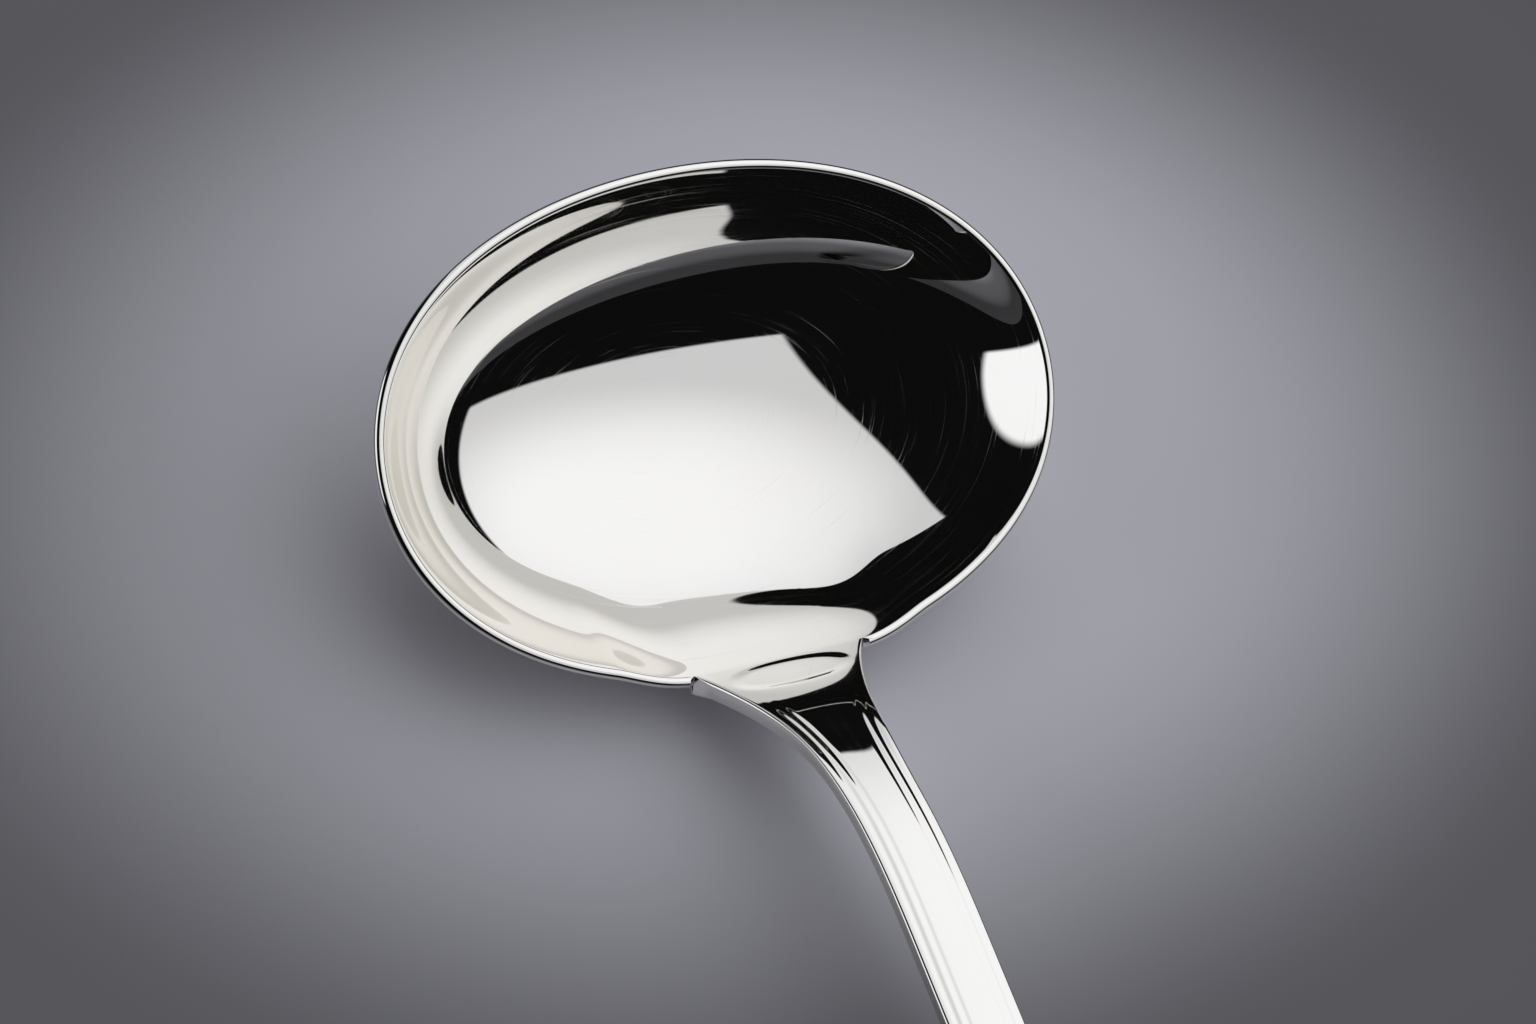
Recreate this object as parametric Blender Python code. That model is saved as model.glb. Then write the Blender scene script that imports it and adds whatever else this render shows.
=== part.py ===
"""Sauce ladle: an oval bowl set crosswise to a handle with a thread border.

The bowl is modelled level, its length along X and the inner edge of its lip at Z = 0. The handle rises
from the near side of the lip, towards -Y, and carries on the curve of the bowl's wall. The two meet in a
rabbet: the handle butts on the lip between two notches, and its thin heel laps down the outside of the
wall, with a film of solder between. The ladle is then tipped back until the bowl and the handle's end
both rest on the ground plane.

Places on the handle and in the joint are given as (x, s, depth): x across, s along the handle's curve
from the lip (negative down the bowl's wall), and depth below the surface that is seen from above.
"""

import math

import bmesh
import bpy
from mathutils import Vector

MM = 0.001

# Bowl
BOWL_LENGTH = 78.0 * MM  # over the lip, along X
BOWL_WIDTH = 53.4 * MM  # over the lip, along Y
BOWL_DEPTH = 16.8 * MM
BOWL_WALL = 1.2 * MM
OVAL_FULLNESS = 0.017  # how far the lip's quarters stand out from a true ellipse, as a share
FULLNESS_POWER = 4.0  # how soon that dies out towards the floor
FLOOR_SHARE = 0.8  # share of the depth that rises with the square of the reach, the rest is the steep wall
WALL_POWER = 10.8  # how late the steep wall starts to rise
LIP_FLARE = 0.62  # how far the steep wall leans out again at the lip
FLOOR_STRETCH = 7.0 * MM  # how much longer for their width the ovals get from the lip down to the floor
FLOOR_OFFSET = 1.6 * MM  # deepest place, from the middle of the lip away from the handle

# Handle, along its curve
HANDLE_LENGTH = 150.0 * MM
FLARE_LENGTH = 28.3 * MM  # shoulders, from the lip to where the stem is narrowest
BEND_START = 1.7 * MM  # neck bend
BEND_END = 41.0 * MM
BLADE_START = 52.0 * MM  # where the stem starts to broaden again and to arch
END_REACH = 13.0 * MM  # length of the rounded end
STEM_RISE = math.radians(22.8)  # slope of the stem past the bend, over the plane of the lip
TIP_RISE = math.radians(6.0)

# Handle, across
ROOT_WIDTH = 19.5 * MM
STEM_WIDTH = 8.1 * MM
END_WIDTH = 21.0 * MM
FLARE_POWER = 3.0
NECK_THICKNESS = 3.4 * MM
END_THICKNESS = 2.2 * MM
CROWN = 0.6 * MM  # rise of the domed panel over the edges
CROWN_START = 8.0 * MM  # where along the handle the dome starts to rise, and where it is full
CROWN_END = 26.0 * MM
CROWN_POWER = 3.0  # how flat the panel is for the slope of its borders
EDGE_ROUND = 0.7 * MM
SIDE_SHARE = 0.6  # share of the thickness that is upright side, the rest is the rounded back
BACK_POWER = 2.2

# Thread border: two grooves along each edge
THREAD_MARGIN = 1.3 * MM  # from the edge to the outer groove
THREAD_PITCH = 0.85 * MM
THREAD_DEPTH = 0.06 * MM
THREAD_START = 6.5 * MM
THREAD_FADE = 6.0 * MM

# Soldered joint
HEEL_LAP = 6.0 * MM
HEEL_THICKNESS = 0.8 * MM
HEEL_TIP_THICKNESS = 0.35 * MM
SOLDER_FILM = 0.2 * MM
JOINT_CLEARANCE = 0.15 * MM
NOTCH_RAMP = 0.4 * MM  # length over which the lip rises to its full round beside the handle

# Wear where the ladle rests
WORN_DEPTH = 0.2 * MM

# Facets
LIP_STEPS = 84
ROOT_STEPS = 8
WALL_STEPS = 13
NOSE_STEPS = 5
HEEL_STEPS = 8
STEM_STEPS = 44
STEM_CROWDING = 1.4  # how much closer the steps stand in the neck bend than further along
END_STEPS = 10
BACK_SHARES = (0.94, 0.8, 0.5, 0.0)  # places across the back, from the side to the middle
SPINE_STEPS = 600
ANGLE_ROUNDS = 12
NUDGE = 0.0001  # small change of angle and reach, for directions along the surface
SHARP_ANGLE = math.radians(35.0)
WELD = 0.0005 * MM

# Derived sizes
LIP_HALF_LENGTH = BOWL_LENGTH / 2 - BOWL_WALL
LIP_HALF_WIDTH = BOWL_WIDTH / 2 - BOWL_WALL
ROOT_HALF = ROOT_WIDTH / 2
SEAT_GAP = 2 * JOINT_CLEARANCE + SOLDER_FILM
LAP_DEPTH = BOWL_WALL + SEAT_GAP
ROOT_THICKNESS = LAP_DEPTH + HEEL_THICKNESS
ROOT_SIDE = LAP_DEPTH + HEEL_THICKNESS / 2
END_CENTRE = HANDLE_LENGTH - END_REACH


def smoothstep(start, end, value):
    """Ease from 0 at start to 1 at end."""
    share = min(max((value - start) / (end - start), 0.0), 1.0)
    return share * share * (3.0 - 2.0 * share)


def mix(first, second, share):
    return first + (second - first) * share


# Bowl surface: the angle goes round the oval from the middle of its near side, the reach from the floor's
# deepest place, 0, to the lip, 1

def swell(angle, reach):
    """How far the oval stands out from a true ellipse."""
    return 1.0 + OVAL_FULLNESS * reach**FULLNESS_POWER * math.sin(2.0 * angle) ** 2


def half_length(reach):
    return reach * (LIP_HALF_LENGTH + FLOOR_STRETCH * (1.0 - reach))


def wall_rise(reach):
    """Height over the floor."""
    wall = (1.0 + LIP_FLARE) * reach**WALL_POWER - LIP_FLARE * reach ** (2.0 * WALL_POWER)
    return BOWL_DEPTH * mix(wall, reach**2, FLOOR_SHARE)


def inside(angle, reach):
    """Point of the bowl's inside."""
    size = swell(angle, reach)
    x = half_length(reach) * size * math.sin(angle)
    y = FLOOR_OFFSET * (1.0 - reach) - LIP_HALF_WIDTH * reach * size * math.cos(angle)
    return Vector((x, y, wall_rise(reach) - BOWL_DEPTH))


def up_wall(angle, reach):
    """Direction straight up the wall, as the way gained per unit of reach."""
    return (inside(angle, reach + NUDGE) - inside(angle, reach - NUDGE)) / (2.0 * NUDGE)


def bowl_normal(angle, reach):
    """Normal of the inside, pointing into the bowl."""
    if reach == 0.0:
        return Vector((0.0, 0.0, 1.0))
    around = inside(angle + NUDGE, reach) - inside(angle - NUDGE, reach)
    return up_wall(angle, reach).cross(around).normalized()


def bowl_point(angle, reach, depth):
    """Point of the shell, a depth below its inside."""
    return inside(angle, reach) - depth * bowl_normal(angle, reach)


def near_angle(x, reach):
    """Angle at which the near side of an oval passes x."""
    angle = 0.0
    for _ in range(ANGLE_ROUNDS):
        across = x / (half_length(reach) * swell(angle, reach))
        angle = math.asin(min(max(across, -1.0), 1.0))
    return angle


# Handle surface

ROOT_WALL = up_wall(0.0, 1.0)
ROOT_RISE = math.atan2(ROOT_WALL.z, -ROOT_WALL.y)


def rise(s):
    """Slope of the handle over the plane of the lip: the wall's own slope, then the neck bend, then the arch."""
    bend = mix(ROOT_RISE, STEM_RISE, smoothstep(BEND_START, BEND_END, s))
    arch = max(s - BLADE_START, 0.0) / (HANDLE_LENGTH - BLADE_START)
    return bend + (TIP_RISE - STEM_RISE) * arch**2


def spine_points():
    """The handle's curve in the mirror plane, stepped from the lip to the tip."""
    step = HANDLE_LENGTH / SPINE_STEPS
    points = [Vector((0.0, -LIP_HALF_WIDTH, 0.0))]
    for index in range(SPINE_STEPS):
        slope = rise((index + 0.5) * step)
        points.append(points[-1] + step * Vector((0.0, -math.cos(slope), math.sin(slope))))
    return points


SPINE = spine_points()


def spine(s):
    place = min(max(s / HANDLE_LENGTH, 0.0), 1.0) * SPINE_STEPS
    index = min(int(place), SPINE_STEPS - 1)
    return SPINE[index].lerp(SPINE[index + 1], place - index)


def half_width(s):
    """Half the handle's width before its rounded end."""
    flare = max(1.0 - s / FLARE_LENGTH, 0.0) ** FLARE_POWER
    blade = smoothstep(BLADE_START, END_CENTRE, s)
    return (STEM_WIDTH + (ROOT_WIDTH - STEM_WIDTH) * flare + (END_WIDTH - STEM_WIDTH) * blade) / 2


def root_ease_length():
    """Length over which the lip's curve dies out in the handle, so that the two surfaces meet without a crease."""
    angle = near_angle(ROOT_HALF, 1.0)
    normal = bowl_normal(angle, 1.0)
    flare_rate = -FLARE_POWER * (ROOT_WIDTH - STEM_WIDTH) / 2 / FLARE_LENGTH
    along = Vector((flare_rate, -math.cos(ROOT_RISE), math.sin(ROOT_RISE)))
    return 2.0 * normal.y * (inside(angle, 1.0).y + LIP_HALF_WIDTH) / normal.dot(along)


ROOT_EASE = root_ease_length()


def surface(x, s):
    """Point and normal of the surface seen from above: the bowl's inside below the lip, the handle past it."""
    if s < 0.0:
        reach = 1.0 + s / ROOT_WALL.length
        angle = near_angle(x, reach)
        return inside(angle, reach), bowl_normal(angle, reach)
    ease = max(1.0 - s / ROOT_EASE, 0.0) ** 2
    root_x = min(max(x * ROOT_HALF / half_width(s), -ROOT_HALF), ROOT_HALF)
    angle = near_angle(root_x, 1.0)
    slope = rise(s)
    point = spine(s) + Vector((x, ease * (inside(angle, 1.0).y + LIP_HALF_WIDTH), 0.0))
    upright = Vector((0.0, math.sin(slope), math.cos(slope)))
    return point, upright.lerp(bowl_normal(angle, 1.0), ease).normalized()


def place(x, s, depth):
    point, normal = surface(x, s)
    return point - depth * normal


def thickness(s):
    """Depth of the back's middle below the edges."""
    if s < 0.0:
        return mix(ROOT_THICKNESS, LAP_DEPTH + HEEL_TIP_THICKNESS, -s / HEEL_LAP)
    neck = smoothstep(0.0, FLARE_LENGTH, s)
    blade = smoothstep(BLADE_START, HANDLE_LENGTH, s)
    return mix(mix(ROOT_THICKNESS, NECK_THICKNESS, neck), END_THICKNESS, blade)


def side_depth(s):
    """Depth of the upright side's foot."""
    if s < 0.0:
        return mix(LAP_DEPTH, thickness(s), SIDE_SHARE)
    return mix(ROOT_SIDE, SIDE_SHARE * thickness(s), smoothstep(0.0, FLARE_LENGTH, s))


# Meshes

def skin(name, columns):
    """Closed mesh over columns of points: a flat grid, moved to the points and welded where they meet."""
    rows = len(columns[0]) - 1
    bm = bmesh.new()
    bmesh.ops.create_grid(bm, x_segments=len(columns) - 1, y_segments=rows, size=0.5)
    for vert in bm.verts:
        column = columns[round((vert.co.x + 0.5) * (len(columns) - 1))]
        vert.co = column[round((vert.co.y + 0.5) * rows)]
    bmesh.ops.remove_doubles(bm, verts=bm.verts, dist=WELD)
    bmesh.ops.dissolve_degenerate(bm, edges=bm.edges, dist=WELD)
    bmesh.ops.recalc_face_normals(bm, faces=bm.faces)
    mesh = bpy.data.meshes.new(name)
    bm.to_mesh(mesh)
    bm.free()
    return mesh


def bowl_column(angle, nose):
    """Section from the floor's deepest place, over the lip, to the outside below that place.

    The nose is 1 for a round lip, 0 for a flat one.
    """
    reaches = [math.sin(math.pi / 2 * step / WALL_STEPS) for step in range(WALL_STEPS + 1)]
    rising = [inside(angle, reach) for reach in reaches]
    falling = [bowl_point(angle, reach, BOWL_WALL) for reach in reversed(reaches)]
    normal = bowl_normal(angle, 1.0)
    upward = up_wall(angle, 1.0).normalized()
    middle = bowl_point(angle, 1.0, BOWL_WALL / 2)
    lip = []
    for step in range(1, NOSE_STEPS):
        turn = math.pi * step / NOSE_STEPS
        lip.append(middle + BOWL_WALL / 2 * (math.cos(turn) * normal + nose * math.sin(turn) * upward))
    return rising + lip + falling


def bowl_mesh():
    """Shell with a round lip, flat where the handle butts on it between two notches."""
    notch = ROOT_HALF + JOINT_CLEARANCE
    flat = near_angle(notch, 1.0)
    full = near_angle(notch + NOTCH_RAMP, 1.0)
    seat = [bowl_column(mix(-flat, flat, step / ROOT_STEPS), 0.0) for step in range(ROOT_STEPS + 1)]
    round_lip = math.tau - 2.0 * full
    lip = [bowl_column(full + round_lip * step / LIP_STEPS, 1.0) for step in range(LIP_STEPS + 1)]
    return skin("bowl", seat + lip + seat[:1])


def thread_profile(s):
    """Offsets from the handle's edge and depths of the top's mouldings, from the panel out to the last bead."""
    cut = THREAD_DEPTH * smoothstep(THREAD_START, THREAD_START + THREAD_FADE, s)
    inner = THREAD_MARGIN + THREAD_PITCH
    half_pitch = THREAD_PITCH / 2
    return [
        (inner + half_pitch, 0.0),
        (inner, cut),
        (inner - half_pitch, 0.0),
        (THREAD_MARGIN, cut),
        (THREAD_MARGIN - half_pitch, 0.0),
    ]


def handle_column(base_s, edge_x, edge_s, lapped):
    """Half section from the middle of the top, round the edge, to the middle of the back."""
    length = math.hypot(edge_x, edge_s - base_s)
    scale = min(1.0, 2.0 * length / STEM_WIDTH)
    profile = [(1.0 - scale * offset / length if length else 1.0, cut) for offset, cut in thread_profile(edge_s)]
    panel = profile[0][0]
    top = [(0.0, 0.0), (panel / 2, 0.0)] + profile
    crown = CROWN * smoothstep(CROWN_START, CROWN_END, base_s)
    side = side_depth(edge_s)
    points = []
    for share, cut in top:
        depth = LAP_DEPTH if lapped else cut - crown * (1.0 - share**CROWN_POWER)
        points.append((share, depth))
    for turn in (math.pi / 4, math.pi / 2):
        inset = scale * EDGE_ROUND * (1.0 - math.sin(turn))
        share = 1.0 if lapped else 1.0 - inset / length
        points.append((share, LAP_DEPTH if lapped else EDGE_ROUND * (1.0 - math.cos(turn))))
    points.append((1.0, side))
    for share in BACK_SHARES:
        back = mix(side, thickness(mix(base_s, edge_s, share)), (1.0 - share**BACK_POWER) ** (1.0 / BACK_POWER))
        points.append((share, back))
    return [place(share * edge_x, mix(base_s, edge_s, share), depth) for share, depth in points]


def handle_half(sign):
    """Columns of one half, from the heel's point past the butt and along the stem to the end."""
    columns = []
    for step in range(HEEL_STEPS + 1):
        turn = math.pi / 2 * step / HEEL_STEPS
        s = -HEEL_LAP * math.cos(turn)
        columns.append(handle_column(s, sign * ROOT_HALF * math.sin(turn), s, True))
    columns.append(handle_column(SEAT_GAP, sign * half_width(SEAT_GAP), SEAT_GAP, True))
    for step in range(STEM_STEPS + 1):
        s = mix(SEAT_GAP, END_CENTRE, (step / STEM_STEPS) ** STEM_CROWDING)
        columns.append(handle_column(s, sign * half_width(s), s, False))
    for step in range(1, END_STEPS + 1):
        turn = math.pi / 2 * step / END_STEPS
        edge_x = sign * END_WIDTH / 2 * math.cos(turn)
        columns.append(handle_column(END_CENTRE, edge_x, END_CENTRE + END_REACH * math.sin(turn), False))
    return columns


def handle_mesh():
    return skin("handle", handle_half(-1.0) + handle_half(1.0)[-2::-1])


def film_loop(half, inner, outer):
    """Closed loop across the film, out along its bowl side and back along its handle side."""
    across = [mix(-half, half, step / ROOT_STEPS) for step in range(ROOT_STEPS + 1)]
    loop = [place(x, *inner) for x in across] + [place(x, *outer) for x in reversed(across)]
    return loop + loop[:1]


def solder_mesh():
    """Film that lines the rabbet: up the outside of the wall, round its corner and across the lip's seat."""
    half = ROOT_HALF - EDGE_ROUND
    lap = HEEL_LAP - EDGE_ROUND
    bowl_side = BOWL_WALL + JOINT_CLEARANCE
    handle_side = bowl_side + SOLDER_FILM
    columns = []
    for step in range(HEEL_STEPS + 1):
        turn = math.pi / 2 * step / HEEL_STEPS
        s = -lap * math.cos(turn)
        columns.append(film_loop(half * math.sin(turn), (s, bowl_side), (s, handle_side)))
    seat = JOINT_CLEARANCE
    butt = JOINT_CLEARANCE + SOLDER_FILM
    columns.append(film_loop(half, (seat, bowl_side), (butt, handle_side)))
    columns.append(film_loop(half, (seat, JOINT_CLEARANCE), (butt, JOINT_CLEARANCE)))
    middle = (seat + butt) / 2
    columns.append(film_loop(half, (middle, JOINT_CLEARANCE), (middle, JOINT_CLEARANCE)))
    return skin("solder_seam", columns)


# Rest

def lowest(mesh, tilt):
    """Height of a mesh's lowest point once it is tipped back by an angle."""
    return min(vert.co.y * math.sin(tilt) + vert.co.z * math.cos(tilt) for vert in mesh.vertices)


def rest_tilt(bowl, handle):
    """Angle at which the bowl and the handle's end touch the ground together."""
    level, upright = 0.0, math.pi / 2
    for _ in range(50):
        tilt = (level + upright) / 2
        if lowest(handle, tilt) > lowest(bowl, tilt):
            level = tilt
        else:
            upright = tilt
    return tilt


def wear_flat(mesh, tilt, ground):
    """Cut a mesh off at the ground plane, fill the cut and return its middle."""
    down = Vector((0.0, -math.sin(tilt), -math.cos(tilt)))
    bm = bmesh.new()
    bm.from_mesh(mesh)
    geometry = bm.verts[:] + bm.edges[:] + bm.faces[:]
    cut = bmesh.ops.bisect_plane(
        bm, geom=geometry, dist=WELD, plane_co=-ground * down, plane_no=down, clear_outer=True
    )
    rim = [edge for edge in cut["geom_cut"] if isinstance(edge, bmesh.types.BMEdge)]
    flat = bmesh.ops.edgeloop_fill(bm, edges=rim)["faces"][0]
    middle = flat.calc_center_median()
    bmesh.ops.recalc_face_normals(bm, faces=bm.faces)
    bm.to_mesh(mesh)
    bm.free()
    return middle


def metal(name, colour, roughness):
    material = bpy.data.materials.new(name)
    material.use_nodes = True
    shader = material.node_tree.nodes["Principled BSDF"]
    shader.inputs["Base Color"].default_value = (*colour, 1.0)
    shader.inputs["Metallic"].default_value = 1.0
    shader.inputs["Roughness"].default_value = roughness
    return material


def add_piece(mesh, material, parent):
    mesh.materials.append(material)
    mesh.shade_smooth()
    mesh.set_sharp_from_angle(angle=SHARP_ANGLE)
    piece = bpy.data.objects.new(mesh.name, mesh)
    bpy.context.scene.collection.objects.link(piece)
    piece.parent = parent
    return piece


def main():
    for leftover in list(bpy.data.objects):
        bpy.data.objects.remove(leftover)
    bowl = bowl_mesh()
    handle = handle_mesh()
    tilt = rest_tilt(bowl, handle)
    ground = lowest(bowl, tilt) + WORN_DEPTH
    foot = wear_flat(bowl, tilt, ground)
    wear_flat(handle, tilt, ground)
    ladle = bpy.data.objects.new("ladle_at_rest", None)
    bpy.context.scene.collection.objects.link(ladle)
    ladle.rotation_euler.x = tilt
    ladle.location = (0.0, foot.z * math.sin(tilt) - foot.y * math.cos(tilt), -ground)
    add_piece(bowl, metal("silver_bowl", (0.91, 0.90, 0.88), 0.06), ladle)
    add_piece(handle, metal("silver_handle", (0.91, 0.90, 0.88), 0.08), ladle)
    add_piece(solder_mesh(), metal("hard_solder", (0.82, 0.80, 0.74), 0.3), ladle)


main()
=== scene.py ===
"""Looks of a sauce ladle: an oval bowl set crosswise to a threaded handle, in silver plate.

The bowl and the handle follow the solids of the part, with finer lips, threads and rounded edges.
Their surfaces are worked out with the bowl level, the inner edge of its lip at Z = 0 and the handle
towards -Y, and then tipped back until the bowl and the handle's end rest on the floor. All sizes
are in metres.
"""

import logging
import math
from dataclasses import dataclass, field
from enum import Enum

import bmesh
import bpy
from mathutils import Matrix, Vector

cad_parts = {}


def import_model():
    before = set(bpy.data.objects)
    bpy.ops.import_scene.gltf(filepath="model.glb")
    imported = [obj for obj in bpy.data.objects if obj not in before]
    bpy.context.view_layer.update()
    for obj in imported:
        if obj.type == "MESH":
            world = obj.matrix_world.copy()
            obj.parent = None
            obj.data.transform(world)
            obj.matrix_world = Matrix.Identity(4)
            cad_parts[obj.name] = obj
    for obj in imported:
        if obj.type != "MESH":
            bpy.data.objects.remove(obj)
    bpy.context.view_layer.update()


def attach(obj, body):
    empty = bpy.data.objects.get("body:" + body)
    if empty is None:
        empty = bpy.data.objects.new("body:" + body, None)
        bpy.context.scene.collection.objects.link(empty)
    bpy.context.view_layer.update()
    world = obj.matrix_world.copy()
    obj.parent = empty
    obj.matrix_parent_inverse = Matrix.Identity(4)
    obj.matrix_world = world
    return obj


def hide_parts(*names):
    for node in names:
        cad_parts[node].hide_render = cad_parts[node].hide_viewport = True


LOG = logging.getLogger("sauce_ladle")
MM = 0.001
WELD = 0.0002 * MM  # distance within which points are welded
SHARP = math.radians(40.0)  # angle between two faces from which their edge is shaded sharp
SURFACE_UV = "surface"  # name of the UV map

Pair = tuple[float, float]
Triple = tuple[float, float, float]
Columns = list[list[Vector]]
Marks = list[list[Pair]]
Tree = bpy.types.NodeTree
Socket = bpy.types.NodeSocket


class Slot(Enum):
    """Material slots of the part."""

    BOWL = "bowl_silver"
    HANDLE = "handle_silver"
    SOLDER = "solder"


class Ease(Enum):
    """Ways in which a ramp goes from its first level to its second."""

    STRAIGHT = "LINEAR"
    SMOOTH = "SMOOTHSTEP"


def smoothstep(start: float, end: float, value: float) -> float:
    """Ease from 0 at start to 1 at end.

    Args:
        start: Value at which the ease starts.
        end: Value at which the ease ends.
        value: Value to ease.

    Returns:
        Share between 0 and 1.
    """
    share = min(max((value - start) / (end - start), 0.0), 1.0)
    return share * share * (3.0 - 2.0 * share)


def hump(span: Triple, value: float) -> float:
    """Rise from 0 at the span's start to 1 at its top, and fall to 0 at its end."""
    start, top, end = span
    return smoothstep(start, top, value) * (1.0 - smoothstep(top, end, value))


def mix(first: float, second: float, share: float) -> float:
    """Value a share of the way from the first to the second."""
    return first + (second - first) * share


def quarter(steps: int) -> list[float]:
    """Sines of even steps from 0 to a right angle."""
    return [math.sin(math.pi / 2 * step / steps) for step in range(steps + 1)]


@dataclass(frozen=True)
class Rest:
    """How the ladle lies on the floor.

    Args:
        tilt: Angle by which it is tipped back about X.
        shift: Place of the middle of the lip's oval.
    """

    tilt: float = math.radians(26.1285)
    shift: Triple = (0.0, 4.218 * MM, 18.317 * MM)

    def matrix(self) -> Matrix:
        """Matrix from the level bowl to the ladle at rest."""
        return Matrix.Translation(self.shift) @ Matrix.Rotation(self.tilt, 4, "X")


@dataclass(frozen=True)
class BowlForm:
    """Surface of the bowl.

    The angle goes round the oval from the near side, the reach from the floor, 0, to the lip, 1.

    Args:
        length: Length over the lip.
        width: Width over the lip.
        depth: Depth inside.
        wall: Thickness of the sheet.
        fullness: How far the oval stands out from a true ellipse between its axes.
        fullness_power: How late that grows towards the lip.
        floor_share: Share of an even round in the section, the rest being a steep wall.
        wall_power: How late the steep wall rises.
        lip_flare: How far the steep wall leans out again at the lip.
        floor_stretch: How much longer the floor is than the lip's oval made smaller.
        floor_offset: How far the deepest place lies past the middle, away from the handle.
        root_flat: Share of the near wall's curve that is beaten flat where the handle joins it.
        root_flat_start: Reach at which it starts to be flat.
        root_flat_span: Places across at which the flatness starts to fade, and ends.
        nudge: Step over which slopes are measured.
        angle_rounds: Rounds in which the angle of a place across is found.
    """

    length: float = 78.0 * MM
    width: float = 53.4 * MM
    depth: float = 16.8 * MM
    wall: float = 1.2 * MM
    fullness: float = 0.017
    fullness_power: float = 4.0
    floor_share: float = 0.8
    wall_power: float = 10.8
    lip_flare: float = 0.62
    floor_stretch: float = 7.0 * MM
    floor_offset: float = 1.6 * MM
    root_flat: float = 0.75
    root_flat_start: float = 0.66
    root_flat_span: Pair = (8.0 * MM, 18.0 * MM)
    nudge: float = 0.0001
    angle_rounds: int = 12

    @property
    def half_width(self) -> float:
        """Half the width inside the lip."""
        return self.width / 2 - self.wall

    def half_length(self, reach: float) -> float:
        """Half the length of the oval at a reach."""
        return reach * (self.length / 2 - self.wall + self.floor_stretch * (1.0 - reach))

    def swell(self, angle: float, reach: float) -> float:
        """How far the oval stands out from a true ellipse."""
        return 1.0 + self.fullness * reach**self.fullness_power * math.sin(2.0 * angle) ** 2

    def inside(self, angle: float, reach: float) -> Vector:
        """Point of the bowl's inside.

        Args:
            angle: Angle round the oval.
            reach: Share of the way out to the lip.

        Returns:
            The point, with the bowl level.
        """
        size = self.swell(angle, reach)
        steep = (1.0 + self.lip_flare) * reach**self.wall_power
        steep -= self.lip_flare * reach ** (2.0 * self.wall_power)
        x = self.half_length(reach) * size * math.sin(angle)
        y = self.floor_offset * (1.0 - reach) - self.half_width * reach * size * math.cos(angle)
        if math.cos(angle) > 0.0:
            flat = self.root_flatness(x, reach) * self.half_width * reach
            y -= flat * (1.0 - size * math.cos(angle))
        return Vector((x, y, self.depth * (mix(steep, reach**2, self.floor_share) - 1.0)))

    def root_flatness(self, x: float, reach: float) -> float:
        """How flat the near wall is beaten where the handle joins it.

        Args:
            x: Place across.
            reach: Share of the way out to the lip.

        Returns:
            Share of the oval's curve that is taken out.
        """
        share = self.root_flat * smoothstep(self.root_flat_start, 1.0, reach)
        return share * (1.0 - smoothstep(*self.root_flat_span, abs(x)))

    def up_wall(self, angle: float, reach: float) -> Vector:
        """Way gained straight up the wall per unit of reach."""
        step = self.nudge
        return (self.inside(angle, reach + step) - self.inside(angle, reach - step)) / (2.0 * step)

    def normal(self, angle: float, reach: float) -> Vector:
        """Normal of the inside, pointing into the bowl.

        Args:
            angle: Angle round the oval.
            reach: Share of the way out to the lip.

        Returns:
            Unit vector.
        """
        if reach == 0.0:
            return Vector((0.0, 0.0, 1.0))
        around = self.inside(angle + self.nudge, reach) - self.inside(angle - self.nudge, reach)
        return self.up_wall(angle, reach).cross(around).normalized()

    def point(self, angle: float, reach: float, depth: float) -> Vector:
        """Point of the shell, a depth below its inside."""
        return self.inside(angle, reach) - depth * self.normal(angle, reach)

    def near_angle(self, x: float, reach: float) -> float:
        """Angle at which the near side of an oval passes x.

        Args:
            x: Place across.
            reach: Reach of the oval.

        Returns:
            The angle, 0 in the middle.
        """
        angle = 0.0
        for _ in range(self.angle_rounds):
            across = x / (self.half_length(reach) * self.swell(angle, reach))
            angle = math.asin(min(max(across, -1.0), 1.0))
        return angle


@dataclass(frozen=True)
class ThreadBorder:
    """Two grooves along each edge of the handle, with a bead between them.

    Args:
        margin: Distance of the outer groove from the edge.
        pitch: Distance between the grooves, and breadth of each.
        depth: Depth of the grooves.
        start: Distance along the handle at which they start.
        fade: Length over which they reach their depth.
    """

    margin: float = 1.05 * MM
    pitch: float = 1.0 * MM
    depth: float = 0.064 * MM
    start: float = 6.5 * MM
    fade: float = 6.0 * MM

    @property
    def inner(self) -> float:
        """Offset from the edge at which the panel starts."""
        return self.margin + 1.5 * self.pitch

    @property
    def outer(self) -> float:
        """Offset from the edge at which the outer groove ends."""
        return self.margin - 0.5 * self.pitch

    def cut(self, offset: float, s: float) -> float:
        """Depth of the grooves.

        Args:
            offset: Distance in from the handle's edge.
            s: Distance along the handle.

        Returns:
            Depth below the plain surface.
        """
        if not self.outer < offset < self.inner:
            return 0.0
        wave = math.cos(math.pi * (offset - self.margin) / self.pitch) ** 2
        return self.depth * smoothstep(self.start, self.start + self.fade, s) * wave


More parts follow.
